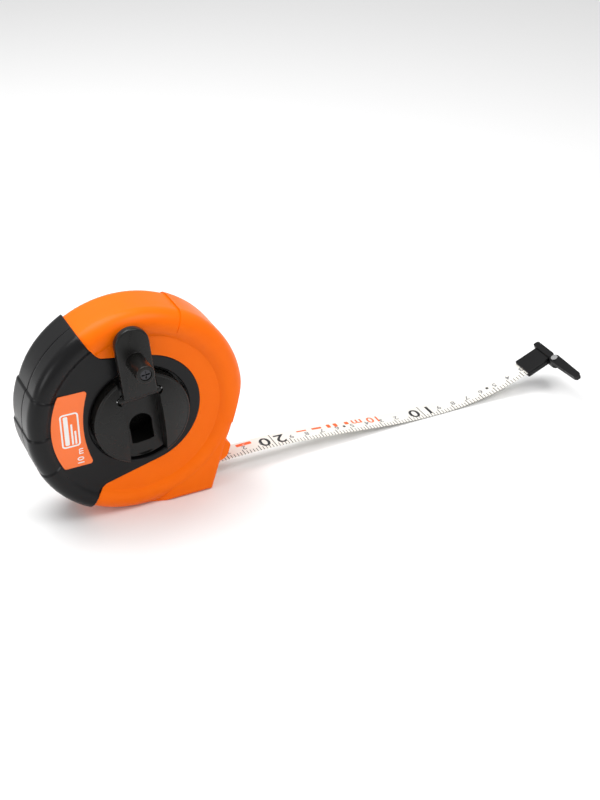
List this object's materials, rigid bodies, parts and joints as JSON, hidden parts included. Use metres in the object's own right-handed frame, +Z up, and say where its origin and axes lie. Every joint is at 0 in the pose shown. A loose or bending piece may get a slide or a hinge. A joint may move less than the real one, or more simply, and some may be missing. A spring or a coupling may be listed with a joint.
{
  "type": "tape measure",
  "caption": "Closed-case winding tape measure: round moulded case with soft grip, folding crank and knob, printed tape drawn out of the mouth, folding claw hook.",
  "frame": {"origin": "on the flat base straight under the hub axis, in the mid plane of the case", "axes": "+X the way the tape leaves the nose, +Z up, -Y towards the crank side"},
  "size_m": [0.3362, 0.0582, 0.1195],
  "materials": {
    "case_plastic": "satin moulded plastic, orange",
    "grip_rubber": "soft over-moulded rubber, satin black",
    "label_film": "printed film, orange red",
    "crank_plastic": "satin moulded plastic, charcoal",
    "reel_plastic": "natural acetal",
    "tape_fibre": "glass-fibre tape, coated, off-white with dark print",
    "hook_plastic": "moulded nylon, black",
    "steel": "zinc-plated steel",
    "dark_steel": "blackened steel"
  },
  "bodies": {
    "case": {"front_shell": "case_plastic", "rear_shell": "case_plastic", "front_grip": "grip_rubber", "rear_grip": "grip_rubber", "front_label": "label_film", "bearing_ring": "reel_plastic", "tape_lead": "tape_fibre", "roller_pin": "steel", "case_screws": "steel", "axle_screw": "steel", "axle_washer": "steel"},
    "reel": {"crank_hub": "crank_plastic", "flap_pin": "steel", "reel_core": "reel_plastic", "reel_front_flange": "reel_plastic", "reel_rear_flange": "reel_plastic", "reel_screws": "steel", "tape_coil": "tape_fibre"},
    "flap": {"crank_flap": "crank_plastic", "knob_screw": "dark_steel"},
    "knob": {"crank_knob": "crank_plastic"},
    "tape": {"tape_strip": "tape_fibre", "hook_upper": "hook_plastic", "hook_lower": "hook_plastic", "claw_rivet": "steel"},
    "claw": {"hook_claw": "hook_plastic"},
    "roller": {"guide_roller": "reel_plastic"}
  },
  "joints": [
    {"name": "tape_pull", "type": "slide", "parent": "case", "child": "tape", "axis": [0.9972, 0, 0.075], "range_m": [0, 0.03]},
    {"name": "crank_spin", "type": "hinge", "parent": "case", "child": "reel", "pos_m": [0, 0, 0.0595], "axis": [0, -1, 0], "continuous": true},
    {"name": "flap_fold", "type": "hinge", "parent": "reel", "child": "flap", "pos_m": [-0.00135, -0.0206, 0.07494], "axis": [0.9962, 0, 0.0872], "range_deg": [0, 180]},
    {"name": "knob_spin", "type": "hinge", "parent": "flap", "child": "knob", "pos_m": [-0.00331, -0.03, 0.09735], "axis": [0, -1, 0], "continuous": true},
    {"name": "claw_fold", "type": "hinge", "parent": "tape", "child": "claw", "pos_m": [0.27149, -0.0115, 0.01937], "axis": [-0.3795, 0, 0.9252], "range_deg": [-90, 0]},
    {"name": "roller_spin", "type": "hinge", "parent": "case", "child": "roller", "pos_m": [0.03692, 0, 0.011], "axis": [0, 1, 0], "continuous": true}
  ],
  "couplings": [
    {"joint": "crank_spin", "follows": "tape_pull", "rad_per_m": 22.727},
    {"joint": "roller_spin", "follows": "tape_pull", "rad_per_m": -416.67}
  ]
}
